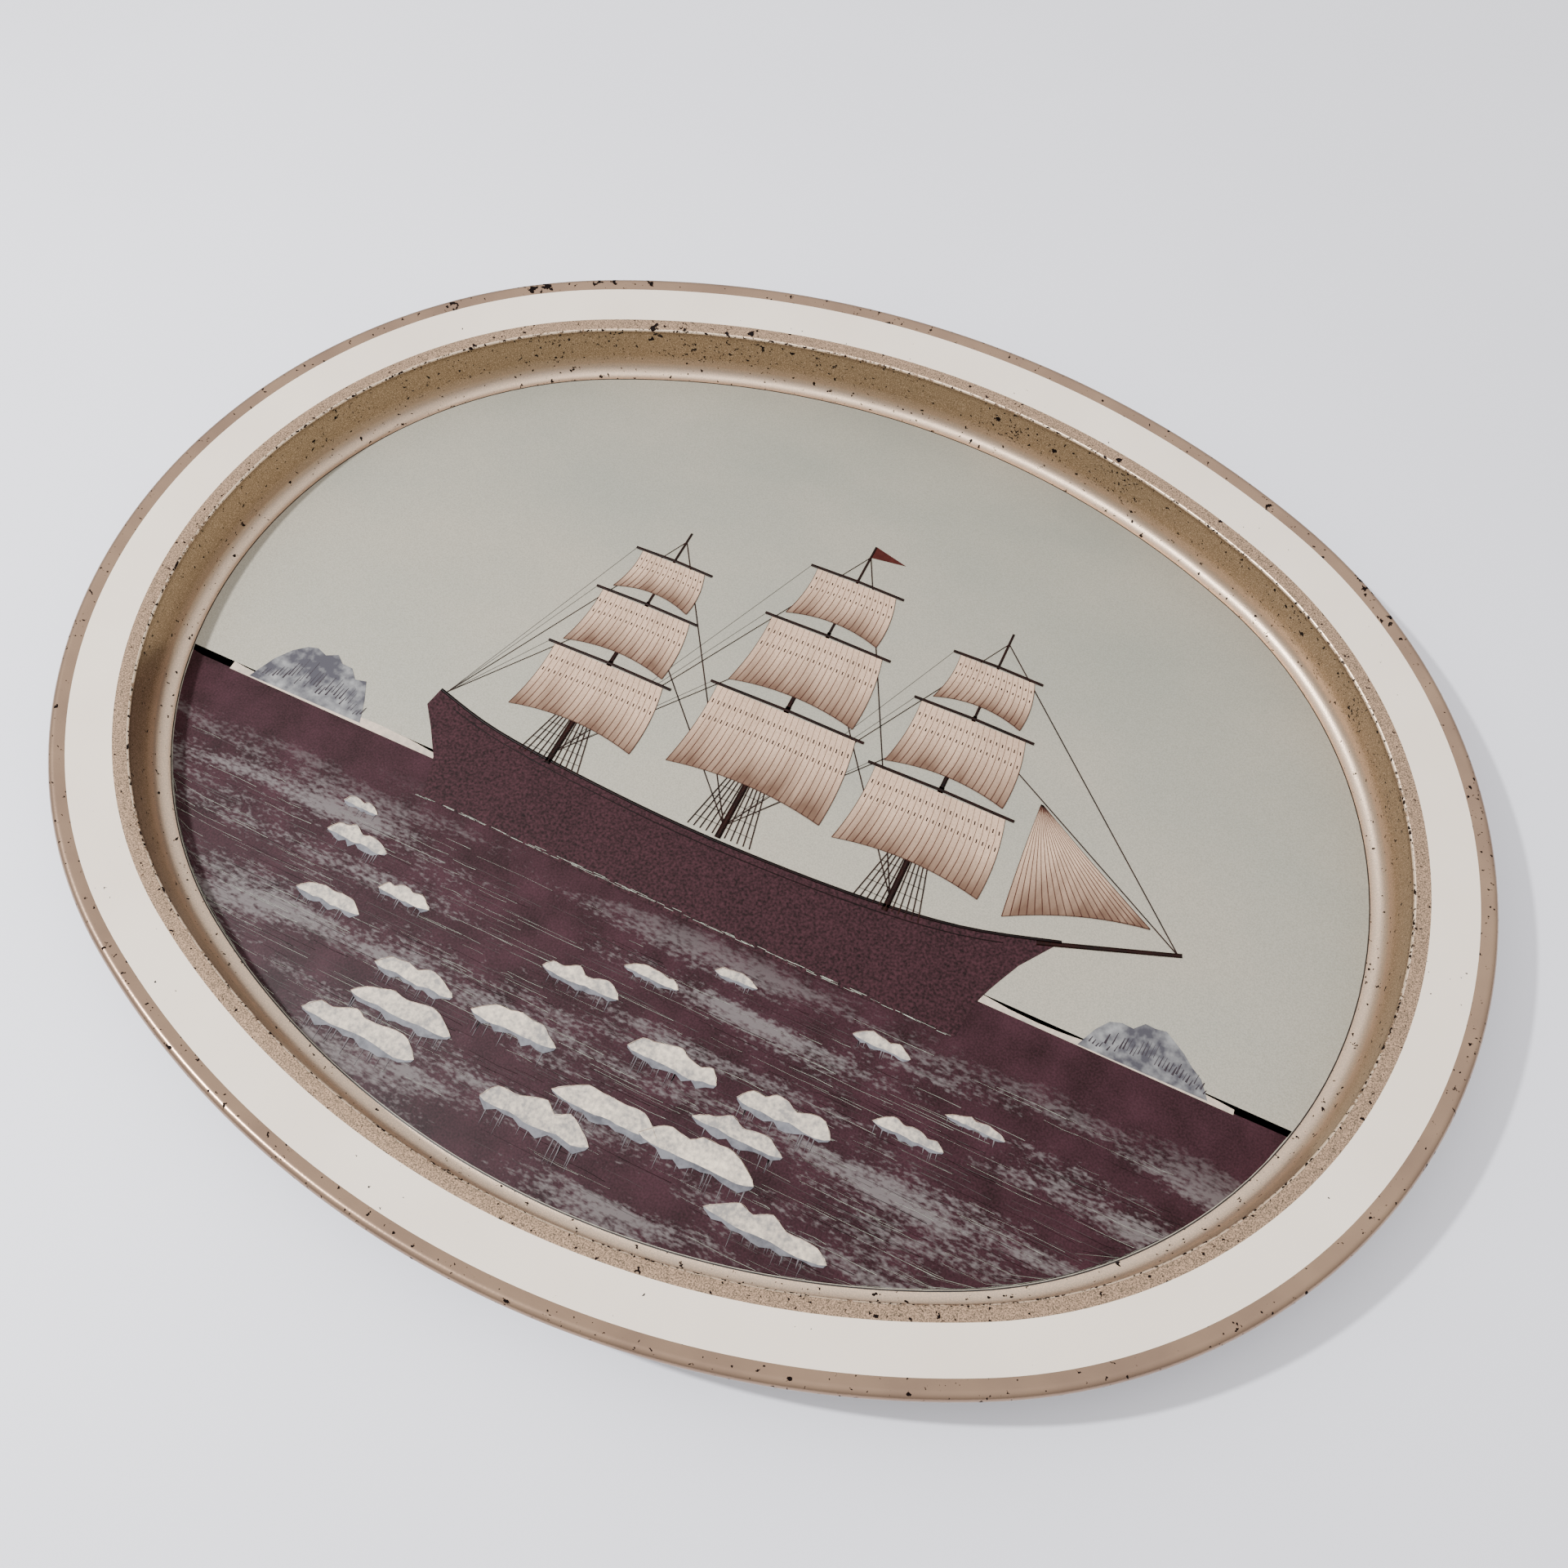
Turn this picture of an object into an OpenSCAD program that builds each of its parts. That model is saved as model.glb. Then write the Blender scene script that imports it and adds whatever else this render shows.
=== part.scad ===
// Oval serving tray pressed from tinned steel sheet, with a curled rim.
// One section is swept round a four-centred oval, so the flange keeps its width all the way round.
// The steel is drawn zone by zone, and each printed or lacquered coat is a thin skin on top of it.
// The origin is the middle of the underside: X runs along the tray and Z points up.

/* [Plan] */
// Length over the rim
tray_length = 394; // [320:1:470]
// Width over the rim
tray_width = 314; // [220:1:380]

/* [Rim] */
// Height from the table to the top of the curl
tray_height = 21.5; // [14:0.5:60]
// Outside diameter of the curled edge
curl_d = 3.6; // [2.4:0.1:8]
// How far round the sheet is rolled in the curl, in degrees
curl_turn = 280; // [200:1:290]
// Width of the gold lip between the curl and the cream band
lip_w = 1; // [0.4:0.1:6]
// Height of the curl above the outer edge of the cream band
lip_drop = 0.8; // [0.1:0.1:1.6]

/* [Flange] */
// Width of the cream band
cream_w = 11.2; // [4:0.1:30]
// Width of the gold ledge inside the cream band
ledge_w = 3.9; // [1.5:0.1:15]
// How much the flange falls from the lip to the crease
flange_drop = 2.9; // [0:0.1:6]

/* [Well] */
// Radius of the crease where the flange turns down into the wall
crease_r = 0.9; // [0.7:0.1:2]
// Lean of the wall from upright, in degrees
wall_lean = 1.7; // [0:0.1:25]
// Radius of the cove where the wall meets the floor
cove_r = 3.8; // [0.8:0.1:7]
// Width of the dark line printed round the picture
keyline_w = 0.35; // [0.2:0.05:3]

/* [Sheet] */
// Thickness of the steel
sheet_t = 0.35; // [0.25:0.05:0.5]
// Thickness of a printed or lacquered coat
coat_t = 0.15; // [0.05:0.01:0.2]

/* [Hidden] */
$fn = 128;

steel_colour = "darkgray";
gold_colour = [0.66, 0.56, 0.44];
cream_colour = [0.86, 0.84, 0.80];
sky_colour = [0.70, 0.71, 0.68];
ink_colour = [0.12, 0.08, 0.08];

// Plan: the end arcs meet the side arcs on the lines through their centres
half_length = tray_length / 2;
half_width = tray_width / 2;
end_half_angle = 63.215;
end_centre = (half_length - half_width) / (1 + tan(end_half_angle) - 1 / cos(end_half_angle));
side_centre = end_centre * tan(end_half_angle);
end_radius = half_length - end_centre;
side_radius = half_width + side_centre;

// Section of the finished surface: x is 0 at the outermost edge and negative inwards
curl_r = curl_d / 2;
curl_centre = [-curl_r, tray_height - curl_r];
lip_foot = [-(curl_d + lip_w), tray_height - lip_drop];
lip_run = curl_centre - lip_foot;
lip_slope = atan2(lip_run.y, lip_run.x) + asin(curl_r / norm(lip_run));
lip_top = curl_centre + curl_r * [-sin(lip_slope), cos(lip_slope)];
flange_slope = atan2(flange_drop, cream_w + ledge_w);
cream_foot = on_flange(cream_w);
crease = on_flange(cream_w + ledge_w);
wall_slope = 90 - wall_lean;
floor_top = sheet_t + coat_t;
wall_foot = [crease.x - (crease.y - floor_top) * tan(wall_lean), floor_top];

// The rounded crease and cove, with the points where they leave the straight stretches
crease_cut = crease_r * tan((wall_slope - flange_slope) / 2);
crease_out = crease + crease_cut * along(flange_slope);
crease_in = crease - crease_cut * along(wall_slope);
crease_centre = under(crease_out, flange_slope, crease_r);
cove_cut = cove_r * tan(wall_slope / 2);
cove_top = wall_foot + cove_cut * along(wall_slope);
cove_centre = wall_foot + [-cove_cut, cove_r];
floor_inset = -cove_centre.x;

// A layer is a pair of depths under the finished surface
coat = [0, coat_t];
steel = [coat_t, coat_t + sheet_t];

// Unit vector up a slope, going outwards
function along(slope) = [cos(slope), sin(slope)];

// Point on the flange's finished surface, a plan distance inside the lip
function on_flange(inwards) = lip_foot - inwards * [1, tan(flange_slope)];

// Point at a depth square to a sloping surface
function under(point, slope, depth) = point + depth * [sin(slope), -cos(slope)];

// Point at a depth where two slopes meet, on the line that halves their angle
function under_corner(point, slope_a, slope_b, depth) =
    under(point, (slope_a + slope_b) / 2, depth / cos((slope_a - slope_b) / 2));

// Straight stretch of sheet between two points of the finished surface
module strip(inner, outer, slope, layer) {
    polygon([under(inner, slope, layer[0]), under(outer, slope, layer[0]),
             under(outer, slope, layer[1]), under(inner, slope, layer[1])]);
}

// Part of a ring, turned less than a half turn from one angle to another
module ring_part(centre, r_small, r_large, from, to) {
    reach = 4 * r_large;
    translate(centre) intersection() {
        difference() {
            circle(r_large);
            circle(r_small);
        }
        polygon([[0, 0], reach * along(from), reach * along((from + to) / 2), reach * along(to)]);
    }
}

// The curl in section: a ring with an open gap under the lip
module curl_section(layer) {
    gap_from = lip_slope + 90;
    gap_to = gap_from + 360 - curl_turn;
    reach = 4 * curl_r;
    translate(curl_centre) difference() {
        circle(curl_r - layer[0]);
        circle(curl_r - layer[1]);
        polygon([[0, 0], reach * along(gap_from), reach * along((gap_from + gap_to) / 2),
                 reach * along(gap_to)]);
    }
}

// The lip in section, from the curl down to the cream band
module lip_section(layer) {
    polygon([under(lip_top, lip_slope, layer[0]), under(lip_top, lip_slope, layer[1]),
             under_corner(lip_foot, lip_slope, flange_slope, layer[1]),
             under_corner(lip_foot, lip_slope, flange_slope, layer[0])]);
}

// The cream band in section
module cream_section(layer) {
    polygon([under_corner(lip_foot, lip_slope, flange_slope, layer[0]),
             under_corner(lip_foot, lip_slope, flange_slope, layer[1]),
             under(cream_foot, flange_slope, layer[1]), under(cream_foot, flange_slope, layer[0])]);
}

// The ledge in section, with the crease at its inner edge
module ledge_section(layer) {
    strip(crease_out, cream_foot, flange_slope, layer);
    ring_part(crease_centre, crease_r - layer[1], crease_r - layer[0],
              flange_slope + 90, wall_slope + 90);
}

// The straight wall in section
module wall_section(layer) {
    strip(cove_top, crease_in, wall_slope, layer);
}

// The cove in section, from the floor up to the straight wall
module cove_section(layer) {
    ring_part(cove_centre, cove_r + layer[0], cove_r + layer[1], -90, wall_slope - 90);
}

// Moves a shape by whole millimetres, then thousandths, then the rest, so that the arcs join exactly
module shift(x, y) {
    move = [x, y];
    whole = [floor(x), floor(y)];
    thousandths = [for (rest = move - whole) floor(1000 * rest) / 1000];
    translate(whole) translate(thousandths) translate(move - whole - thousandths) children();
}

// Sweeps a section round the oval: a quarter of it, mirrored to the other three
module sweep_round() {
    for (side = [0, 1], end = [0, 1])
        mirror([0, side, 0]) mirror([end, 0, 0]) {
            shift(end_centre, 0)
                rotate_extrude(angle = end_half_angle) shift(end_radius, 0) children();
            shift(0, -side_centre)
                rotate_extrude(angle = 90 - end_half_angle, start = end_half_angle)
                    shift(side_radius, 0) children();
        }
}

// The oval in plan, a distance inside the outermost edge
module oval(inset) {
    join = end_centre + (end_radius - inset) * cos(end_half_angle);
    intersection() {
        translate([0, side_centre]) circle(side_radius - inset);
        translate([0, -side_centre]) circle(side_radius - inset);
        square([2 * join, tray_width], center = true);
    }
    for (side = [-1, 1])
        translate([side * end_centre, 0]) circle(end_radius - inset);
}

// Flat steel bottom, which the tray stands on
module floor_panel() {
    color(steel_colour) linear_extrude(sheet_t) oval(floor_inset);
}

// Rounded cove at the foot of the wall
module cove_ring() {
    color(steel_colour) sweep_round() cove_section(steel);
}

// Steep drawn wall
module wall_ring() {
    color(steel_colour) sweep_round() wall_section(steel);
}

// Sloping flange from the crease out to the curl
module flange_ring() {
    color(steel_colour) sweep_round() {
        lip_section(steel);
        cream_section(steel);
        ledge_section(steel);
    }
}

// Edge of the sheet, rolled outwards and under so that no cut edge shows
module rim_curl() {
    color(steel_colour) sweep_round() curl_section(steel);
}

// Picture printed on the floor, inside its dark line
module picture_print() {
    color(sky_colour) translate([0, 0, sheet_t])
        linear_extrude(coat_t) oval(floor_inset + keyline_w);
}

// Dark line between the picture and the gold cove
module picture_keyline() {
    color(ink_colour) translate([0, 0, sheet_t]) linear_extrude(coat_t) difference() {
        oval(floor_inset);
        oval(floor_inset + keyline_w);
    }
}

// Gold lacquer in the cove
module cove_lacquer() {
    color(gold_colour) sweep_round() cove_section(coat);
}

// Gold lacquer on the wall
module wall_lacquer() {
    color(gold_colour) sweep_round() wall_section(coat);
}

// Gold lacquer on the ledge and over the crease
module ledge_lacquer() {
    color(gold_colour) sweep_round() ledge_section(coat);
}

// Cream enamel band on the flange
module cream_enamel() {
    color(cream_colour) sweep_round() cream_section(coat);
}

// Gold lacquer on the lip and round the curl
module rim_lacquer() {
    color(gold_colour) {
        sweep_round() lip_section(coat);
        sweep_round() curl_section(coat);
    }
}

floor_panel();
cove_ring();
wall_ring();
flange_ring();
rim_curl();
picture_print();
picture_keyline();
cove_lacquer();
wall_lacquer();
ledge_lacquer();
cream_enamel();
rim_lacquer();
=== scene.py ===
import math
import random
import bpy
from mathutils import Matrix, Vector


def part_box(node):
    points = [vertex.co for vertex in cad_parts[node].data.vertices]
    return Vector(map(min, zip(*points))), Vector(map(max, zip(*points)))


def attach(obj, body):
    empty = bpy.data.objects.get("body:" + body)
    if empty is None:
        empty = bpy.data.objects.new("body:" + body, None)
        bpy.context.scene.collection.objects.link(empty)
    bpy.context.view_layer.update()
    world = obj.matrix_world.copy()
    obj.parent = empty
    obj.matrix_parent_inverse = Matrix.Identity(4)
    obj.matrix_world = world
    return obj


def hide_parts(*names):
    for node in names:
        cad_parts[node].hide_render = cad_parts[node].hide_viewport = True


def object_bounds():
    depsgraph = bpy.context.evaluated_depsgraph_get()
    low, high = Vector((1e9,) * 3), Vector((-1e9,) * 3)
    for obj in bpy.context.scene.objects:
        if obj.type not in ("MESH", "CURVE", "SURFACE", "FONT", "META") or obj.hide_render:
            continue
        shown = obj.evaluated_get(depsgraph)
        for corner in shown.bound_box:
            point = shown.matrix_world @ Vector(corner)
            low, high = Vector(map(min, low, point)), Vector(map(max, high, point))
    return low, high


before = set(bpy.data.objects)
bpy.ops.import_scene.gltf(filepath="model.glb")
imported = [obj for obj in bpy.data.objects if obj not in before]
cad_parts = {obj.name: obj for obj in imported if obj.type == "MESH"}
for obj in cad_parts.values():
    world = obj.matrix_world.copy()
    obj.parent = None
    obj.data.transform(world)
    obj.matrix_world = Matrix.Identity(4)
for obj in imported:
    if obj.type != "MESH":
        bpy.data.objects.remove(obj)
cad_low, cad_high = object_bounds()


# The camera.
# It looks down at the tray from the near right, turned a little out of level.
bpy.ops.object.select_all(action="DESELECT")
bpy.ops.object.camera_add(
    location=(0.08182, -0.15658, 0.32420),
    rotation=(math.radians(27.3004), math.radians(-0.2536), math.radians(25.3879)))
camera = bpy.context.object
camera.name = "camera"
camera.data.sensor_width = 36
camera.data.lens = 29.76
camera.data.clip_start = 0.01
bpy.context.scene.camera = camera


# The table under the tray.
# A plain pale board with a faint satin sheen, wide enough to fill every view.
def new_finish(name, metal, roughness, shine=0.5):
    """Starts a finish: how metallic it is, how matt, and how strongly it shines."""
    finish = bpy.data.materials.new(name)
    finish.use_nodes = True
    skin = finish.node_tree.nodes["Principled BSDF"]
    skin.inputs["Metallic"].default_value = metal
    skin.inputs["Roughness"].default_value = roughness
    skin.inputs["Specular IOR Level"].default_value = shine
    return finish


def node(finish, kind, values, **settings):
    """Adds one shader node; each value is a number, a colour or another node's output."""
    made = finish.node_tree.nodes.new("ShaderNode" + kind)
    for setting, choice in settings.items():
        setattr(made, setting, choice)
    for place, value in values.items():
        if isinstance(value, bpy.types.NodeSocket):
            finish.node_tree.links.new(value, made.inputs[place])
        else:
            made.inputs[place].default_value = value
    return made


def spot(finish):
    """Where on the object a point of the surface lies, in metres."""
    return node(finish, "TexCoord", {}).outputs["Object"]


def grain(finish, fineness, detail=2.0, stretch=(1, 1, 1), seed=0.0):
    """Cloudy grain from 0 to 1; fineness is how many grains there are to a metre."""
    placed = node(finish, "Mapping", {"Vector": spot(finish), "Scale": stretch,
                                      "Location": (seed, seed * 0.7, -seed)})
    cloud = node(finish, "TexNoise", {"Vector": placed.outputs[0], "Scale": fineness,
                                      "Detail": detail})
    return cloud.outputs["Fac"]


def between(finish, value, low, high, out_low=0.0, out_high=1.0):
    """Stretches a value so that low gives out_low and high gives out_high."""
    return node(finish, "MapRange", {"Value": value, "From Min": low, "From Max": high,
                                     "To Min": out_low, "To Max": out_high}).outputs[0]


def sums(finish, operation, first, second):
    """Works one value against another."""
    return node(finish, "Math", {0: first, 1: second}, operation=operation).outputs[0]


def over(finish, share, under_coat, top_coat):
    """Lays one colour over another, by a share from 0 to 1."""
    return node(finish, "Mix", {0: share, 6: under_coat, 7: top_coat},
                data_type="RGBA").outputs[2]


def colour(red, green, blue):
    """A paint colour, given as it should look from 0 to 255; lit paint is mixed darker."""
    seen = (0, 42, 60, 75, 95, 119, 148, 176, 198, 206, 212, 218)
    laid = (0, 2, 18, 38, 60, 80, 100, 140, 180, 205, 230, 255)
    mixed = []
    for wanted in (red, green, blue):
        k = max(i for i in range(11) if seen[i] <= wanted)
        share = min((wanted - seen[k]) / (seen[k + 1] - seen[k]), 1.0)
        tone = (laid[k] + (laid[k + 1] - laid[k]) * share) / 255
        mixed.append(((tone + 0.055) / 1.055) ** 2.4 if tone > 0.04 else tone / 12.92)
    return (mixed[0], mixed[1], mixed[2], 1.0)


def wire(finish, **parts):
    """Joins outputs to the surface: colour, roughness, metal or bump height."""
    skin = finish.node_tree.nodes["Principled BSDF"]
    names = {"colour": "Base Color", "roughness": "Roughness", "metal": "Metallic"}
    for part, output in parts.items():
        if part == "bump":
            height, depth = output
            rise = node(finish, "Bump", {"Height": height, "Distance": depth, "Strength": 1.0})
            finish.node_tree.links.new(rise.outputs[0], skin.inputs["Normal"])
        else:
            finish.node_tree.links.new(output, skin.inputs[names[part]])


board = new_finish("pale_board", 0.0, 0.55)
board_cloud = grain(board, 6.0, 3.0)
wire(board, colour=over(board, board_cloud, colour(213, 213, 215), colour(216, 216, 218)))

bpy.ops.object.select_all(action="DESELECT")
bpy.ops.mesh.primitive_plane_add(size=8, location=(0, 0, cad_low[2] - 0.00002))
table = bpy.context.object
table.name = "table"
table.data.materials.append(board)


# The light.
# A small lamp high on the left throws the one clear shadow; a pale room fills the rest.
bpy.ops.object.light_add(type="AREA", location=(-0.518, -0.246, 0.796),
                         rotation=(math.radians(36), 0, math.radians(-64.6)))
lamp = bpy.context.object
lamp.name = "lamp"
lamp.data.shape = "DISK"
lamp.data.size = 0.045
lamp.data.energy = 11.6
lamp.data.color = (0.98, 0.99, 1.0)

room = bpy.data.worlds.new("room")
bpy.context.scene.world = room
room.use_nodes = True
room_light = room.node_tree.nodes["Background"]
room_light.inputs["Color"].default_value = (1.0, 0.99, 0.985, 1.0)
toward = room.node_tree.nodes.new("ShaderNodeTexCoord")
split = room.node_tree.nodes.new("ShaderNodeVectorMath")
split.operation = "DOT_PRODUCT"
split.inputs[1].default_value = (-0.10, 0.16, 1.06)
lift = room.node_tree.nodes.new("ShaderNodeMath")
lift.operation = "ADD"
lift.inputs[1].default_value = 0.54
room.node_tree.links.new(toward.outputs["Generated"], split.inputs[0])
room.node_tree.links.new(split.outputs["Value"], lift.inputs[0])
room.node_tree.links.new(lift.outputs[0], room_light.inputs["Strength"])


# The bottom of the tray.
# One blank of bright tinplate makes the whole body. Its bare underside shows the mill's fine
# rolling lines, a soft tin bloom and a few rust freckles. The flat bottom is what it stands on.
tinplate = new_finish("tinplate", 0.9, 0.38)
rolling = grain(tinplate, 900.0, 3.0, stretch=(0.02, 1, 1))
bloom = grain(tinplate, 45.0, 4.0, seed=3.0)
freckles = between(tinplate, grain(tinplate, 420.0, 3.0, seed=8.0), 0.70, 0.74)
bright_tin = over(tinplate, bloom, colour(150, 148, 143), colour(186, 184, 178))
lined_tin = over(tinplate, between(tinplate, rolling, 0.3, 0.7, 0.0, 0.35), bright_tin,
                 colour(120, 117, 112))
wire(tinplate, colour=over(tinplate, freckles, lined_tin, colour(86, 52, 34)),
     roughness=between(tinplate, bloom, 0.2, 0.8, 0.28, 0.5),
     metal=between(tinplate, freckles, 0.0, 1.0, 0.92, 0.1),
     bump=(rolling, 0.00001))


def coat(cad_node, finish):
    """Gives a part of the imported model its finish."""
    body = bpy.data.objects[cad_node]
    for slot in body.material_slots:
        slot.material = finish


coat("floor_panel", tinplate)


# The wall, drawn down from the blank.
# It leans a little outwards and turns into the bottom through a rounded cove. Like every formed
# zone it is one section carried round an oval of four arcs, here in fine steps.
half_length = cad_high[0]
end_centre = 0.0525
side_centre = 0.104
arc_turn = math.degrees(math.atan2(side_centre, end_centre))
steel_thickness = 0.35
coat_thickness = 0.15
wall_lean = 1.7
flange_drop = 2.9
flange_run = 15.1
flange_fall = math.degrees(math.atan2(flange_drop, flange_run))
wall_rise = 90 - wall_lean
crease_point = (-19.7, 17.8)
crease_radius = 0.9
crease_cut = crease_radius * math.tan(math.radians((wall_rise - flange_fall) / 2))
cove_radius = 3.8
cove_cut = cove_radius * math.tan(math.radians(wall_rise / 2))
floor_height = 0.5
wall_foot = (crease_point[0] - (crease_point[1] - floor_height)
             * math.tan(math.radians(wall_lean)), floor_height)


def along(point, slope, distance):
    """Steps up a slope, outwards, in the section."""
    return (point[0] + distance * math.cos(math.radians(slope)),
            point[1] + distance * math.sin(math.radians(slope)))


def under(point, slope, depth):
    """Goes straight down into the sheet from a point on a slope."""
    return (point[0] + depth * math.sin(math.radians(slope)),
            point[1] - depth * math.cos(math.radians(slope)))


def bend(centre, radius, start, stop, steps):
    """Points round a bend of the section, from one angle to another."""
    points = []
    for step in range(steps + 1):
        points.append(along(centre, start + (stop - start) * step / steps, radius))
    return points


def turned_ring(name, section, finish, *replaced):
    """Carries a closed section, in millimetres from the outermost edge, round the oval."""
    bpy.ops.object.select_all(action="DESELECT")
    bpy.ops.mesh.primitive_circle_add(vertices=len(section), radius=0.01, fill_type="NOTHING")
    ring = bpy.context.object
    ring.name = name
    for vertex, (outwards, upwards) in zip(ring.data.vertices, section):
        vertex.co = (half_length + outwards / 1000, 0.0, upwards / 1000)
    bpy.ops.object.mode_set(mode="EDIT")
    bpy.ops.mesh.select_all(action="SELECT")
    arcs = [(arc_turn, (end_centre, 0), 40), (180 - 2 * arc_turn, (0, -side_centre), 56),
            (2 * arc_turn, (-end_centre, 0), 80), (180 - 2 * arc_turn, (0, side_centre), 56),
            (arc_turn, (end_centre, 0), 40)]
    for turn, middle, steps in arcs:
        bpy.ops.mesh.spin(steps=steps, angle=-math.radians(turn), center=(*middle, 0),
                          axis=(0, 0, 1))
    bpy.ops.mesh.select_all(action="SELECT")
    bpy.ops.mesh.remove_doubles(threshold=0.000002)
    bpy.ops.mesh.normals_make_consistent(inside=False)
    bpy.ops.object.mode_set(mode="OBJECT")
    bpy.ops.object.shade_smooth_by_angle(angle=math.radians(40))
    ring.data.materials.append(finish)
    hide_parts(*replaced)
    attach(ring, "root")
    return ring


def wall_section(shallow, deep):
    """The wall and cove between two depths under the finished surface."""
    cove_middle = (wall_foot[0] - cove_cut, wall_foot[1] + cove_radius)
    crease_end = along(crease_point, wall_rise, -crease_cut)
    inner = bend(cove_middle, cove_radius + shallow, -90, wall_rise - 90, 14)
    outer = bend(cove_middle, cove_radius + deep, wall_rise - 90, -90, 14)
    return (inner + [under(crease_end, wall_rise, shallow)]
            + [under(crease_end, wall_rise, deep)] + outer)


wall_steel = turned_ring("wall_steel",
                         wall_section(coat_thickness, coat_thickness + steel_thickness),
                         tinplate, "cove_ring", "wall_ring")


# The flange round the top of the wall.
# The sheet bends over the rounded crease and runs out on a gentle slope, then a short steeper lip.
lip_foot = (-4.6, 20.7)
curl_middle = (-1.8, 19.7)
curl_radius = 1.8
lip_run = (curl_middle[0] - lip_foot[0], curl_middle[1] - lip_foot[1])
lip_rise = math.degrees(math.atan2(lip_run[1], lip_run[0])
                        + math.asin(curl_radius / math.hypot(*lip_run)))
lip_top = along(curl_middle, lip_rise + 90, curl_radius)
cream_width = 11.2
cream_inside = (lip_foot[0] - cream_width,
                lip_foot[1] - cream_width * math.tan(math.radians(flange_fall)))
crease_outside = along(crease_point, flange_fall, crease_cut)
crease_middle = under(crease_outside, flange_fall, crease_radius)


def corner(depth):
    """The corner between cream band and lip, at a depth under the finished surface."""
    middle = (lip_rise + flange_fall) / 2
    return under(lip_foot, middle, depth / math.cos(math.radians((lip_rise - flange_fall) / 2)))


def crease_bend(depth, start, stop):
    """The rounded crease at a depth under the finished surface."""
    return bend(crease_middle, crease_radius - depth, start, stop, 8)


def flange_section(shallow, deep):
    """The flange from the crease to the lip, between two depths."""
    return (crease_bend(shallow, wall_rise + 90, flange_fall + 90)
            + [corner(shallow), under(lip_top, lip_rise, shallow)]
            + [under(lip_top, lip_rise, deep), corner(deep)]
            + crease_bend(deep, flange_fall + 90, wall_rise + 90))


flange_steel = turned_ring("flange_steel",
                           flange_section(coat_thickness, coat_thickness + steel_thickness),
                           tinplate, "flange_ring")


# The curled edge.
# The edge of the sheet is rolled outwards and under in an open roll, so no cut edge shows.
curl_turn = 280
curl_start = lip_rise + 90


def curl_section(shallow, deep):
    """The open roll between two depths, from under the lip round to its top."""
    return (bend(curl_middle, curl_radius - shallow, curl_start, curl_start - curl_turn, 48)
            + bend(curl_middle, curl_radius - deep, curl_start - curl_turn, curl_start, 48))


curl_steel = turned_ring("curl_steel",
                         curl_section(coat_thickness, coat_thickness + steel_thickness),
                         tinplate, "rim_curl")


# The gold lacquer of the curl and lip.
# A thin bronze-gold film over the tin, clouded between two golds; rust breaks through in chips.
def chips(finish, fineness, keep, seed, blotches=()):
    """Small ragged chips, thicker in some stretches; a blotch is a place and a reach in mm."""
    specks = grain(finish, fineness, 3.0, seed=seed)
    stretch = grain(finish, 30.0, 1.0, seed=seed + 9)
    specks = sums(finish, "ADD", specks, between(finish, stretch, 0.35, 0.7, -0.05, 0.06))
    mask = between(finish, specks, keep, keep + 0.015)
    torn = grain(finish, 620.0, 4.0, seed=seed + 3)
    for x, y, z, reach in blotches:
        away = node(finish, "VectorMath", {0: spot(finish), 1: (x / 1000, y / 1000, z / 1000)},
                    operation="DISTANCE").outputs["Value"]
        nearness = between(finish, away, 0.0, reach / 1000, 0.26, 0.0)
        hit = between(finish, sums(finish, "ADD", torn, nearness), 0.66, 0.675)
        mask = sums(finish, "MAXIMUM", mask, hit)
    return mask


rust_dark = colour(52, 30, 18)
rim_gold = new_finish("rim_gold", 0.9, 0.26, 0.1)
rim_cloud = grain(rim_gold, 60.0, 3.0)
rim_colour = over(rim_gold, rim_cloud, colour(166, 150, 134), colour(190, 175, 158))
rim_chips = chips(rim_gold, 760.0, 0.71, 2.0, (
    (-136.2, 115.6, 21, 4), (-132.6, 118.2, 21, 3), (-118.7, 127, 21, 3), (-114, 129.4, 21, 2.4),
    (-104, 134, 21, 3), (-26.2, 150.9, 21, 2), (138.9, 115.7, 20, 5), (142, 112.4, 19.6, 4),
    (148, 106, 19, 4), (106, 129.9, 20.5, 2.4), (-156, 97, 20, 3)))
wire(rim_gold, colour=over(rim_gold, rim_chips, rim_colour, rust_dark),
     metal=between(rim_gold, rim_chips, 0.0, 1.0, 0.85, 0.0),
     roughness=between(rim_gold, rim_chips, 0.0, 1.0, 0.27, 0.8),
     bump=(grain(rim_gold, 1500.0, 2.0), 0.00002))
rim_section = ([corner(0)] + bend(curl_middle, curl_radius, curl_start, curl_start - curl_turn, 48)
               + bend(curl_middle, curl_radius - coat_thickness, curl_start - curl_turn,
                      curl_start, 48)
               + [corner(coat_thickness)])
gold_rim = turned_ring("gold_rim", rim_section, rim_gold, "rim_lacquer")


# The cream enamel band.
# A smooth satin enamel rolled on the flange, with the faintest orange peel.
cream = new_finish("cream_enamel", 0.0, 0.3)
cream_cloud = grain(cream, 30.0, 3.0)
cream_specks = chips(cream, 700.0, 0.76, 4.0)
wire(cream, colour=over(cream, cream_specks,
                        over(cream, cream_cloud, colour(212, 208, 203), colour(216, 213, 209)),
                        rust_dark),
     bump=(grain(cream, 250.0, 2.0), 0.00003))
cream_section = [corner(0), corner(coat_thickness),
                 under(cream_inside, flange_fall, coat_thickness), cream_inside]
cream_band = turned_ring("cream_band", cream_section, cream, "cream_enamel")
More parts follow.
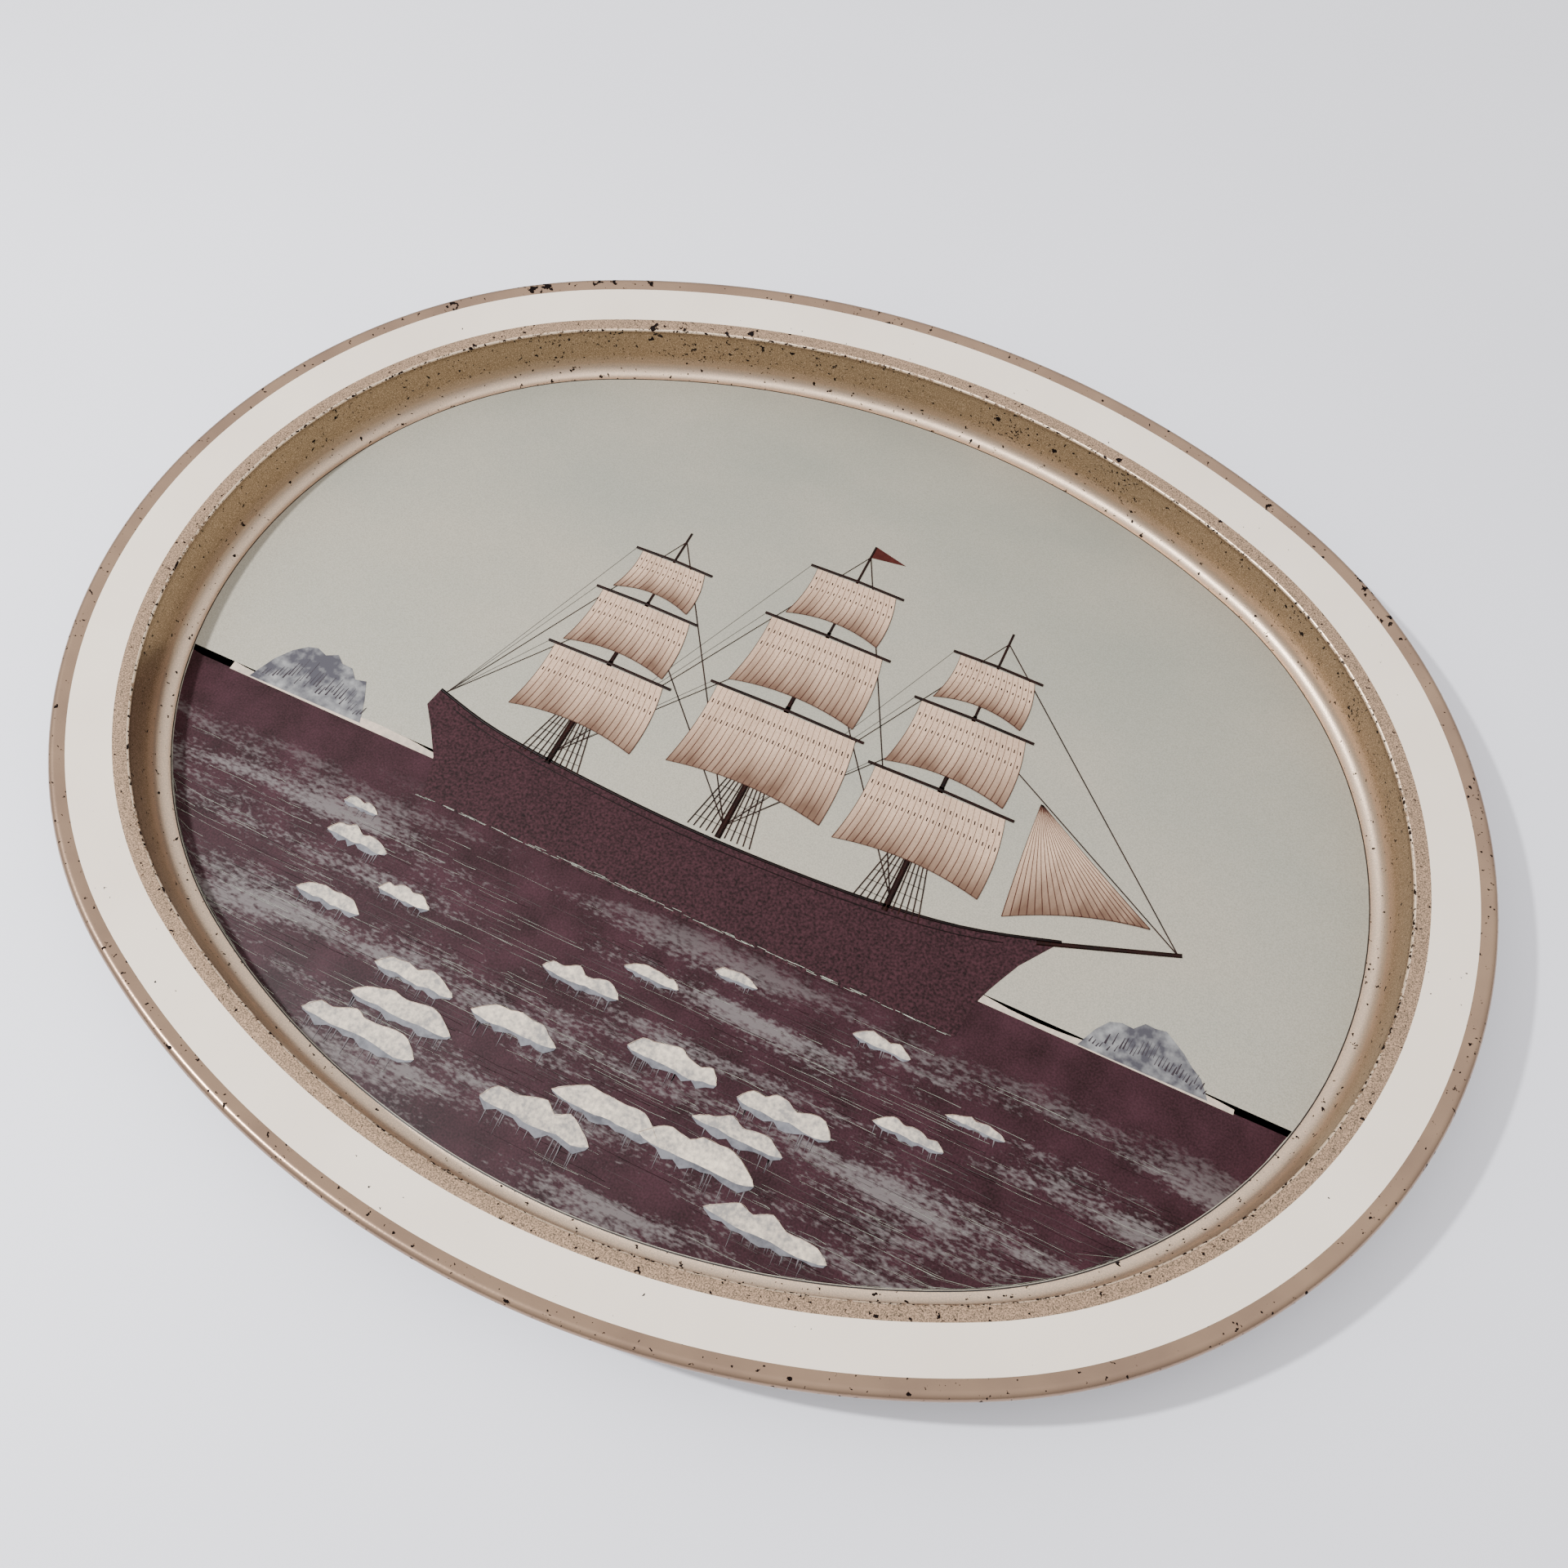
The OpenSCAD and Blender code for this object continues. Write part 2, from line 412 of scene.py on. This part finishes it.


# The gold lacquer of the ledge and crease.
# A flake gold with a sandy sparkle. The crease at its inner edge is painted pale in patches: partly
# worn-through tin, partly a painted highlight along the bend.
ledge_gold = new_finish("ledge_gold", 0.85, 0.38, 0.1)
flake = grain(ledge_gold, 3200.0, 2.0)
ledge_colour = over(ledge_gold, between(ledge_gold, flake, 0.35, 0.7),
                    colour(146, 130, 112), colour(206, 192, 176))
up = node(ledge_gold, "SeparateXYZ", {0: spot(ledge_gold)}).outputs["Z"]
# Pale patches along the crease: partly worn-through tin, partly a painted highlight on the bend.
rub_and_highlight_breakup = sums(ledge_gold, "ADD", grain(ledge_gold, 900.0, 3.0, seed=4.0),
               sums(ledge_gold, "MULTIPLY", grain(ledge_gold, 40.0, 1.0, seed=7.0), 0.8))
at_crease = sums(ledge_gold, "MULTIPLY", between(ledge_gold, up, 0.01786, 0.01778),
                 between(ledge_gold, up, 0.01715, 0.0173))
rubbed_and_highlight = sums(ledge_gold, "MULTIPLY", at_crease, between(ledge_gold, rub_and_highlight_breakup, 0.72, 0.86))
ledge_colour = over(ledge_gold, rubbed_and_highlight, ledge_colour, colour(214, 208, 200))
ledge_chips = chips(ledge_gold, 820.0, 0.735, 6.0, (
    (-143.2, 85.3, 18.1, 3.2), (-144.6, 82.4, 18.1, 2.8), (-140.6, 87.6, 18.1, 2.4),
    (-94.7, 119.5, 18, 2.6), (-63.9, 130.3, 18, 2.4), (-86, 122.6, 17.8, 1.8),
    (-72, 127.6, 17.8, 1.8), (60, 131, 17.8, 1.6), (118, 112, 17.8, 1.8), (95, 122, 17.8, 1.6)))
crease_wear = between(ledge_gold, grain(ledge_gold, 1000.0, 2.0, seed=12.0), 0.57, 0.59)
ledge_chips = sums(ledge_gold, "MAXIMUM", ledge_chips,
                   sums(ledge_gold, "MULTIPLY", crease_wear, at_crease))
wire(ledge_gold, colour=over(ledge_gold, ledge_chips, ledge_colour, rust_dark),
     metal=between(ledge_gold, ledge_chips, 0.0, 1.0, 0.85, 0.0),
     bump=(flake, 0.00002))
ledge_section = ([cream_inside] + crease_bend(0, flange_fall + 90, wall_rise + 90)
                 + crease_bend(coat_thickness, wall_rise + 90, flange_fall + 90)
                 + [under(cream_inside, flange_fall, coat_thickness)])
gold_ledge = turned_ring("gold_ledge", ledge_section, ledge_gold, "ledge_lacquer")


# The gold lacquer of the wall and cove.
# The same flake gold, deeper on the upright wall and painted pale in the cove at its foot as a
# painted highlight. A band just under the crease is made a darker brown.
well_gold = new_finish("well_gold", 0.9, 0.37, 0.1)
height = node(well_gold, "SeparateXYZ", {0: spot(well_gold)}).outputs["Z"]
well_flake = grain(well_gold, 3200.0, 2.0)
# Painted highlight: the gold is paler low in the cove and deeper up the wall.
wall_tone_and_cove_highlight = over(well_gold, between(well_gold, height, 0.0035, 0.0075),
                 colour(202, 193, 182), colour(181, 166, 146))
well_colour = over(well_gold, between(well_gold, well_flake, 0.45, 0.65, 0.0, 0.6),
                   wall_tone_and_cove_highlight, colour(212, 204, 192))
under_crease = between(well_gold, height, 0.0156, 0.0172, 0.0, 0.5)
well_colour = over(well_gold, under_crease, well_colour, colour(112, 86, 62))
well_chips = chips(well_gold, 760.0, 0.72, 9.0, (
    (-93.4, 116.4, 16.6, 4.6), (-92, 115.6, 14.6, 3.6), (-98, 113, 15.4, 2), (-86, 119, 15.6, 2.2),
    (-60, 129, 15.6, 2.4), (-50, 131, 14, 2), (81.1, 126.1, 10, 2.4), (128.8, 100.5, 10, 3),
    (124, 104, 11.4, 2), (-103.3, 109.2, 12, 2), (147, 80, 11, 3), (150, 74, 9, 2.4),
    (110, 114, 11, 2.2), (104, 117, 9, 1.8), (20, 136, 12, 2), (40, 134, 10, 1.8)))
speckled = between(well_gold, node(well_gold, "SeparateXYZ", {0: spot(well_gold)}).outputs["Y"],
                   -0.02, 0.09)
far_specks = sums(well_gold, "ADD", grain(well_gold, 1000.0, 3.0, seed=21.0),
                  sums(well_gold, "MULTIPLY", grain(well_gold, 70.0, 1.0, seed=23.0), 0.3))
far_specks = sums(well_gold, "MULTIPLY", between(well_gold, far_specks, 0.81, 0.825),
                  between(well_gold, height, 0.005, 0.006))
well_chips = sums(well_gold, "MAXIMUM", well_chips,
                  sums(well_gold, "MULTIPLY", far_specks, speckled))
wire(well_gold, colour=over(well_gold, well_chips, well_colour, rust_dark),
     metal=between(well_gold, well_chips, 0.0, 1.0, 0.9, 0.0),
     bump=(well_flake, 0.00004))
gold_well = turned_ring("gold_well", wall_section(0, coat_thickness), well_gold,
                        "cove_lacquer", "wall_lacquer")


# The dark line round the picture.
# A fine run of near-black ink where the picture meets the cove.
line_ink = new_finish("line_ink", 0.0, 0.4)
line_cloud = grain(line_ink, 700.0, 3.0)
wire(line_ink, colour=over(line_ink, line_cloud, colour(28, 20, 18), colour(70, 54, 44)))
coat("picture_keyline", line_ink)


# The sky, which is the ground of the whole picture.
# A pale grey-green litho tint, a little deeper towards the top, with the fine dots of the print.
sky = new_finish("sky_print", 0.0, 0.42, 0.15)
sky_up = between(sky, node(sky, "SeparateXYZ", {0: spot(sky)}).outputs["Y"], -0.06, 0.13)
sky_tint = over(sky, sky_up, colour(192, 190, 183), colour(176, 176, 168))
sky_cloud = grain(sky, 22.0, 4.0, stretch=(0.6, 1, 1))
sky_dots = grain(sky, 2600.0, 2.0)
clouded = over(sky, between(sky, sky_cloud, 0.35, 0.65, 0.0, 0.45), sky_tint, colour(196, 190, 181))
wire(sky, colour=over(sky, between(sky, sky_dots, 0.35, 0.7, 0.0, 0.4), clouded,
                      colour(158, 157, 149)),
     bump=(sky_dots, 0.00001))
coat("picture_print", sky)


# The sea.
# Maroon ink printed over the lower part of the sky, broken by grey glints and fine streaks. Every
# ink of the picture lies on the print as a thin closed patch, each layer one step higher.
print_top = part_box("picture_print")[1].z
picture_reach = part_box("picture_print")[1].x * 1000
picture_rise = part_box("picture_print")[1].y * 1000
end_mm = end_centre * 1000
side_mm = side_centre * 1000
horizon = -40
ink_step = 0.00002
sail_layer = 10
dice = random.Random(7)


def kept_inside(x, y, margin=0.15):
    """Pulls a point of the picture back inside the oval, in millimetres."""
    side_x = math.copysign(1, x)
    side_y = math.copysign(1, y)
    across = abs(x) - end_mm
    up = abs(y)
    start = (end_mm, 0)
    reach = picture_reach - end_mm
    if across <= 0 or up / across > math.tan(math.radians(arc_turn)):
        across = abs(x)
        up = abs(y) + side_mm
        start = (0, -side_mm)
        reach = picture_rise + side_mm
    away = math.hypot(across, up)
    if away <= reach - margin:
        return (x, y)
    pull = (reach - margin) / away
    return (side_x * (start[0] + across * pull), side_y * (start[1] + up * pull))


def flowing(points, closed=True, steps=6):
    """A smooth line through points."""
    count = len(points)
    line = []
    spans = count if closed else count - 1
    for i in range(spans):
        if closed:
            a, b, c, d = [points[(i + k) % count] for k in (-1, 0, 1, 2)]
        else:
            a, b, c, d = [points[min(max(i + k, 0), count - 1)] for k in (-1, 0, 1, 2)]
        for step in range(steps):
            t = step / steps
            line.append(tuple(
                0.5 * (2 * b[k] + (c[k] - a[k]) * t
                       + (2 * a[k] - 5 * b[k] + 4 * c[k] - d[k]) * t * t
                       + (3 * b[k] - a[k] - 3 * c[k] + d[k]) * t ** 3) for k in (0, 1)))
    if not closed:
        line.append(points[-1])
    return line


def ragged(points, amount):
    """Roughens a line a little, as a litho crayon leaves it."""
    return [(x + dice.uniform(-amount, amount), y + dice.uniform(-amount, amount))
            for x, y in points]


def join_up(name, shapes, ink):
    """Joins shapes that share an ink into one printed piece."""
    bpy.ops.object.select_all(action="DESELECT")
    for shape in shapes:
        shape.select_set(True)
    bpy.context.view_layer.objects.active = shapes[0]
    if len(shapes) > 1:
        bpy.ops.object.join()
    piece = bpy.context.object
    piece.name = name
    piece.data.materials.clear()
    piece.data.materials.append(ink)
    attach(piece, "root")
    return piece


def ink_patch(outline, layer):
    """A flat patch of ink with this outline; a higher layer lies over a lower one."""
    outline = [kept_inside(x, y) for x, y in outline]
    bpy.ops.object.select_all(action="DESELECT")
    bpy.ops.mesh.primitive_circle_add(vertices=len(outline), radius=0.01, fill_type="NGON")
    patch = bpy.context.object
    for vertex, (x, y) in zip(patch.data.vertices, outline):
        vertex.co = (x / 1000, y / 1000, print_top)
    bpy.ops.object.mode_set(mode="EDIT")
    bpy.ops.mesh.select_all(action="SELECT")
    bpy.ops.mesh.extrude_region_move(
        TRANSFORM_OT_translate={"value": (0, 0, layer * ink_step)})
    bpy.ops.mesh.select_all(action="SELECT")
    bpy.ops.mesh.normals_make_consistent(inside=False)
    bpy.ops.object.mode_set(mode="OBJECT")
    return patch


def ink_lines(lines, layer, taper=(1.0, 1.0)):
    """Thin drawn lines; each is (width, points), and taper thins its two ends."""
    pen = bpy.data.curves.new("pen", "CURVE")
    pen.dimensions = "3D"
    pen.bevel_depth = 0.0005
    pen.bevel_resolution = 0
    pen.use_fill_caps = True
    for width, points in lines:
        stroke = pen.splines.new("POLY")
        stroke.points.add(len(points) - 1)
        for i, (x, y) in enumerate(points):
            x, y = kept_inside(x, y, 0.3)
            share = i / (len(points) - 1)
            stroke.points[i].co = (x / 1000, y / 1000, 0, 1)
            stroke.points[i].radius = width * (taper[0] * (1 - share) + taper[1] * share)
    drawn = bpy.data.objects.new("drawn", pen)
    bpy.context.collection.objects.link(drawn)
    bpy.ops.object.select_all(action="DESELECT")
    drawn.select_set(True)
    bpy.context.view_layer.objects.active = drawn
    bpy.ops.object.convert(target="MESH")
    drawn = bpy.context.object
    for vertex in drawn.data.vertices:
        vertex.co.z = print_top + (layer * ink_step if vertex.co.z > -0.000001 else 0)
    bpy.ops.object.mode_set(mode="EDIT")
    bpy.ops.mesh.select_all(action="SELECT")
    bpy.ops.mesh.normals_make_consistent(inside=False)
    bpy.ops.object.mode_set(mode="OBJECT")
    return drawn


def new_ink(name, first, second, dots=1800.0, share=0.6, gloss=0.42, clouds=0.5):
    """A printed ink: two close colours broken up by the grain of the plate."""
    ink = new_finish(name, 0.0, gloss, 0.15)
    broad = grain(ink, 90.0, 3.0)
    fine = grain(ink, dots, 2.0, seed=2.0)
    shares = sums(ink, "ADD", between(ink, broad, 0.3, 0.7, 0.0, clouds),
                  between(ink, fine, 0.3, 0.7, 0.0, 1 - clouds))
    wire(ink, colour=over(ink, sums(ink, "MULTIPLY", shares, share * 1.6), first, second),
         bump=(fine, 0.00001))
    return ink


sea_ink = new_ink("sea_ink", colour(62, 26, 42), colour(104, 74, 82), share=0.55)
glints = grain(sea_ink, 50.0, 6.0, stretch=(0.3, 2.2, 1), seed=11.0)
crayon = grain(sea_ink, 1300.0, 3.0, stretch=(0.45, 1, 1), seed=4.0)
glints = sums(sea_ink, "ADD", glints, sums(sea_ink, "MULTIPLY", crayon, 0.5))
place = node(sea_ink, "SeparateXYZ", {0: spot(sea_ink)})
far_out = between(sea_ink, place.outputs["Y"], -0.048, -0.066)
glint_share = sums(sea_ink, "MULTIPLY", between(sea_ink, glints, 0.77, 0.92, 0.0, 0.9), far_out)
maroon = sea_ink.node_tree.nodes["Principled BSDF"].inputs["Base Color"].links[0].from_socket
wire(sea_ink, colour=over(sea_ink, glint_share, maroon, colour(152, 146, 146)))

sea_line = [(x, horizon + 0.25 * math.sin(x * 0.9)) for x in range(-172, 173, 2)]
sea_low = [(175 * math.cos(math.radians(a)), -200 * math.sin(math.radians(a)) + horizon)
           for a in range(4, 177, 2)]
join_up("sea", [ink_patch(sea_line + sea_low, 1)], sea_ink)

foam_ink = new_ink("foam_ink", colour(206, 208, 203), colour(150, 156, 150), 900.0)
calm_ink = new_ink("calm_ink", colour(132, 133, 127), colour(96, 82, 84), 900.0)
dark_water_ink = new_ink("dark_water_ink", colour(44, 14, 26), colour(70, 34, 44), 900.0)
pale_streaks = []
grey_streaks = []
dark_streaks = []
for count in range(900):
    x = dice.uniform(-150, 150)
    y = dice.triangular(-130, -56, -96)
    run = dice.uniform(2, 14)
    line = [(x - run, y), (x, y + dice.uniform(-0.3, 0.3)), (x + run * 0.7, y)]
    choice = dice.random()
    if choice < 0.30:
        pale_streaks.append((dice.uniform(0.1, 0.4), line))
    elif choice < 0.72:
        grey_streaks.append((dice.uniform(0.2, 0.8), line))
    else:
        dark_streaks.append((dice.uniform(0.2, 0.9), line))
join_up("grey_glints", [ink_lines(grey_streaks, 2, (0.1, 0.2))], calm_ink)
join_up("dark_glints", [ink_lines(dark_streaks, 3, (0.1, 0.2))], dark_water_ink)
join_up("pale_glints", [ink_lines(pale_streaks, 4, (0.1, 0.2))], foam_ink)


# The far shore and the icebergs.
# A low strip of snow lies all along the horizon, with two plain bergs printed in greys over it.
snow_ink = new_ink("snow_ink", colour(208, 202, 194), colour(184, 180, 174), 800.0)
cliff_ink = new_ink("cliff_ink", colour(180, 180, 180), colour(108, 106, 114), 420.0, 0.9)
crag_ink = new_ink("crag_ink", colour(78, 68, 74), colour(110, 104, 110), 900.0)
shore = [(x, horizon + 1.4 + 0.7 * math.sin(x * 0.11)) for x in range(-152, 153, 4)]
shore_foot = [(x, horizon - 0.6) for x in range(152, -153, -4)]
join_up("snowy_shore", [ink_patch(ragged(shore, 0.15) + shore_foot, 4)], snow_ink)
bergs = []
crags = []
for middle, wide, tall in ((-126, 38, 20), (128, 34, 14)):
    outline = [(middle - wide / 2, horizon)]
    for step in range(1, 12):
        share = step / 12
        crest = tall * math.sin(math.pi * share) ** 0.6
        x = middle + wide * (share - 0.5)
        outline.append((x, horizon + crest * dice.uniform(0.72, 1.0)))
        for mark in range(3):
            start = horizon + crest * dice.uniform(0.3, 0.68)
            crags.append((dice.uniform(0.15, 0.6),
                          [(x + mark, start), (x + mark - 0.5, horizon + (start - horizon) * 0.5)]))
    outline.append((middle + wide / 2, horizon))
    bergs.append(ink_patch(ragged(outline, 0.3), 5))
join_up("icebergs", bergs, cliff_ink)
join_up("crags", [ink_lines(crags, 6, (0.4, 1.0))], crag_ink)


# The ice floes.
# Warm white slabs scattered on the water, larger towards the foot of the picture, each with a
# blue-grey side below and drips of its reflection under that.
ice_ink = new_ink("ice_ink", colour(214, 210, 204), colour(180, 177, 174), 900.0, 0.8)
ice_shade = new_ink("ice_shade", colour(112, 112, 120), colour(160, 160, 164), 600.0, 0.9)
ice_edge = new_ink("ice_edge", colour(178, 162, 150), colour(198, 188, 180), 700.0)
drip_ink = new_ink("drip_ink", colour(126, 118, 124), colour(160, 154, 156), 700.0)
slab_tops = []
slab_sides = []
slab_edges = []
drips = []
for row in range(7):
    y = -62 - 9 * row
    for place_in_row in range(3):
        x = (place_in_row - 1 + dice.uniform(-0.35, 0.35)) * 88 * math.sqrt(1 - (y / 134) ** 2)
        wide = dice.uniform(9, 17) + 3 * row
        tall = wide * dice.uniform(0.16, 0.24)
        crown = [(x - wide * 0.5, y - tall * 0.12)]
        for step in range(1, 8):
            share = step / 8
            crown.append((x + wide * (share - 0.5) + dice.uniform(-0.03, 0.03) * wide,
                          y + tall * dice.uniform(0.4, 0.85) * math.sin(math.pi * share) ** 0.4))
        crown.append((x + wide * 0.5, y - tall * 0.05))
        foot = []
        for step in range(1, 7):
            share = 1 - step / 7
            foot.append((x + wide * (share - 0.5), y - tall * dice.uniform(0.15, 0.3)))
        layer = 6.2 + 0.25 * len(slab_tops)
        slab_tops.append(ink_patch(ragged(flowing(crown + foot, True, 2), 0.12), layer))
        side = [(x - wide * 0.5, y - tall * 0.1), (x + wide * 0.5, y - tall * 0.05)]
        for step in range(13):
            share = 1 - step / 12
            sink = 0.2 + dice.uniform(0.1, 0.45) * math.sin(math.pi * share) ** 0.3
            side.append((x + wide * (share - 0.5) * 0.97, y - tall * sink))
        slab_sides.append(ink_patch(ragged(side, 0.1), layer - 0.12))
        slab_edges.append((0.2, ragged(flowing(crown, False, 3), 0.08)))
        for drip in range(int(wide * 0.5)):
            drip_x = x + dice.uniform(-0.45, 0.45) * wide
            drips.append((dice.uniform(0.2, 0.7),
                          [(drip_x, y - tall * 0.3),
                           (drip_x + 0.2, y - tall * dice.uniform(0.6, 1.2))]))
join_up("floe_sides", slab_sides, ice_shade)
join_up("floe_tops", slab_tops, ice_ink)
join_up("floe_edges", [ink_lines(slab_edges, 16, (0.6, 0.2))], ice_edge)
join_up("floe_drips", [ink_lines(drips, 5, (1.0, 0.1))], drip_ink)


# The ship's hull.
# A plain hull in maroon ink with its bow to the right, a dark rail, a fine wale line and broken
# foam along the water.
hull_ink = new_ink("hull_ink", colour(56, 20, 34), colour(104, 74, 80), 1300.0, 0.55, clouds=0.12)
rail_ink = new_ink("rail_ink", colour(36, 14, 18), colour(62, 34, 34), 900.0)
deck = -28
sheer = flowing([(-92, -20), (-70, -25), (-35, -28), (0, -29), (40, -27.5), (72, -23.5),
                 (98, -16)], False, 5)
bow = flowing([(90, -27), (84, -40), (82, -52)], False, 4)
keel = [(40, -53), (0, -53.4), (-40, -53), (-78, -52)]
stern = [(-82, -40), (-88, -32), (-93, -26)]
join_up("hull", [ink_patch(sheer + bow + keel + stern, 6)], hull_ink)
wale = [(x, y - 2.4) for x, y in sheer[2:-3]]
join_up("rails", [ink_lines([(0.9, sheer), (0.3, wale)], 8)], rail_ink)
foam = []
for count in range(110):
    x = dice.uniform(-78, 84)
    y = -52 + dice.uniform(-0.4, 0.4)
    foam.append((dice.uniform(0.1, 0.4), [(x - dice.uniform(0.5, 2.5), y), (x + 1.2, y)]))
join_up("bow_foam", [ink_lines(foam, 9, (0.3, 0.3))], foam_ink)


# The masts, yards and bowsprit.
# Three upright masts, each in lengths that get thinner, with three yards apiece; all dark brown.
spar_ink = new_ink("spar_ink", colour(40, 20, 16), colour(74, 46, 34), 1200.0)
masts = [(-52, 62), (2, 82), (52, 70)]
tallest_rise = 110
sail_rows = [(0.14, 0.40, 22), (0.43, 0.66, 18), (0.69, 0.86, 13)]
spars = [(1.4, [(92, -19), (128, -6)])]
yard_lines = []
square_sails = []
for x, top in masts:
    rise = top - deck
    size = rise / tallest_rise
    for thick, low, high in ((1.8, 0.0, 0.42), (1.3, 0.40, 0.68), (0.8, 0.66, 1.0)):
        spars.append((thick, [(x, deck + rise * low), (x, deck + rise * high)]))
    for foot_share, head_share, reach in sail_rows:
        half = reach * size
        head = deck + rise * head_share
        foot = deck + rise * foot_share
        middle = (head + foot) / 2
        yard_lines.append((0.9, [(x - half - 2.5, head + 0.5), (x, head + 0.9),
                                 (x + half + 2.5, head + 0.5)]))
        square_sails.append([[(x - half, head), (x - half + 1, middle), (x - half - 2, foot)],
                             [(x + half, head), (x + half + 3, middle), (x + half + 1.6, foot)],
                             2.6])
join_up("spars", [ink_lines(spars, 8, (1.0, 0.85)), ink_lines(yard_lines, 13)], spar_ink)


# The sails.
# Cream square sails and one jib, toned down to russet at the foot, with ruled cloth seams and
# rows of reef points.
sail_ink = new_finish("sail_ink", 0.0, 0.45, 0.15)
sail_map = node(sail_ink, "SeparateXYZ", {0: node(sail_ink, "TexCoord", {}).outputs["UV"]})
sail_dots = grain(sail_ink, 1500.0, 2.0)
sail_cloud = grain(sail_ink, 60.0, 4.0, stretch=(2.5, 0.7, 1))
toned = sums(sail_ink, "ADD", between(sail_ink, sail_map.outputs["Y"], 0.0, 0.62, 1.0, 0.0),
             between(sail_ink, sail_cloud, 0.35, 0.65, -0.18, 0.18))
tan = over(sail_ink, sums(sail_ink, "MAXIMUM", toned, 0.0), colour(206, 194, 180),
           colour(150, 116, 98))
wire(sail_ink, colour=over(sail_ink, between(sail_ink, sail_dots, 0.4, 0.75, 0.0, 0.3), tan,
                           colour(150, 126, 108)),
     bump=(sail_dots, 0.00001))
seam_ink = new_ink("seam_ink", colour(98, 62, 52), colour(136, 106, 92), 900.0)


def leech(head, bulge, foot, share):
    """A point on the curved side of a sail."""
    return tuple((1 - share) ** 2 * head[k] + 2 * share * (1 - share) * bulge[k]
                 + share ** 2 * foot[k] for k in (0, 1))


def sail_point(sail, across, down):
    """A point of a sail: across from its left side, down from its head."""
    left = leech(*sail[0], down)
    right = leech(*sail[1], down)
    lift = sail[2] * down ** 1.6 * 4 * across * (1 - across)
    return (left[0] + (right[0] - left[0]) * across,
            left[1] + (right[1] - left[1]) * across + lift)


def set_sail(sail):
    """A sail filled out between its two sides."""
    bpy.ops.object.select_all(action="DESELECT")
    bpy.ops.mesh.primitive_grid_add(x_subdivisions=20, y_subdivisions=20, size=0.01)
    cloth = bpy.context.object
    for vertex in cloth.data.vertices:
        x, y = sail_point(sail, vertex.co.x / 0.01 + 0.5, 0.5 - vertex.co.y / 0.01)
        vertex.co = (x / 1000, y / 1000, print_top)
    bpy.ops.object.mode_set(mode="EDIT")
    bpy.ops.mesh.select_all(action="SELECT")
    bpy.ops.mesh.extrude_region_move(
        TRANSFORM_OT_translate={"value": (0, 0, sail_layer * ink_step)})
    bpy.ops.mesh.select_all(action="SELECT")
    bpy.ops.mesh.normals_make_consistent(inside=False)
    bpy.ops.object.mode_set(mode="OBJECT")
    return cloth


jib = [[(79, 20), (79.5, 2), (81, -16)], [(79.6, 20), (99, 8), (118, -2.5)], 2.0]
join_up("square_sails", [set_sail(sail) for sail in square_sails], sail_ink)
join_up("jib", [set_sail(jib)], sail_ink)
seams = []
reefs = []
for sail in square_sails + [jib]:
    cloths = int((sail[1][2][0] - sail[0][2][0]) / 1.9)
    for cloth in range(1, cloths):
        line = [sail_point(sail, cloth / cloths, down / 10) for down in range(11)]
        seams.append((0.3, ragged(line, 0.04)))
    for side in (0, 1):
        seams.append((0.3, [sail_point(sail, side, down / 10) for down in range(11)]))
    seams.append((0.35, [sail_point(sail, across / 12, 1) for across in range(13)]))
    if sail is not jib:
        for row in (0.16, 0.36):
            for cloth in range(cloths):
                across = (cloth + 0.5) / cloths
                reefs.append((0.34, [sail_point(sail, across, row),
                                     sail_point(sail, across, row + 0.05)]))
join_up("cloth_seams", [ink_lines(seams, 11, (0.35, 1.0))], seam_ink)
join_up("reef_points", [ink_lines(reefs, 12)], spar_ink)


# The rigging.
# Fine ruled lines: stays from mast to mast and to the bowsprit, shrouds down to the rail, and
# braces from the yard ends.
stay_ink = new_ink("stay_ink", colour(44, 26, 24), colour(84, 62, 54), 900.0)
haze_ink = new_ink("haze_ink", colour(104, 96, 90), colour(140, 134, 128), 900.0)
stays = []
shrouds = []
braces = []
for number, (x, top) in enumerate(masts):
    rise = top - deck
    ahead = (masts[number + 1][0], deck + 4) if number < 2 else (127, -6.4)
    behind = (masts[number - 1][0], deck + 4) if number > 0 else (-90, -20)
    for share in (0.66, 0.96):
        stays.append((0.35, [(x, deck + rise * share), ahead]))
        stays.append((0.25, [(x, deck + rise * share), behind]))
    for rope in range(-5, 6):
        shrouds.append((0.35, [(x, deck + rise * 0.41), (x + rope * 1.9, deck + 0.6)]))
    for rung in range(8):
        level = (rung + 1) / 12
        shrouds.append((0.12, [(x - 9.5 * (1 - level), deck + rise * 0.41 * level),
                               (x + 9.5 * (1 - level), deck + rise * 0.41 * level)]))
    for foot_share, head_share, reach in sail_rows:
        yard_end = x - reach * rise / tallest_rise - 2.5
        braces.append((0.16, [(yard_end, deck + rise * head_share), behind]))
join_up("stays", [ink_lines(stays, 7)], stay_ink)
join_up("shrouds", [ink_lines(shrouds, 9)], stay_ink)
join_up("braces", [ink_lines(braces, 3)], haze_ink)


# The pennant.
# One plain pennant flies from the main mast.
pennant_ink = new_ink("pennant_ink", colour(84, 36, 36), colour(112, 66, 60), 700.0)
pennant = [(2.2, 82), (2.2, 77.6), (13, 79.2)]
join_up("pennant", [ink_patch(pennant, 8)], pennant_ink)
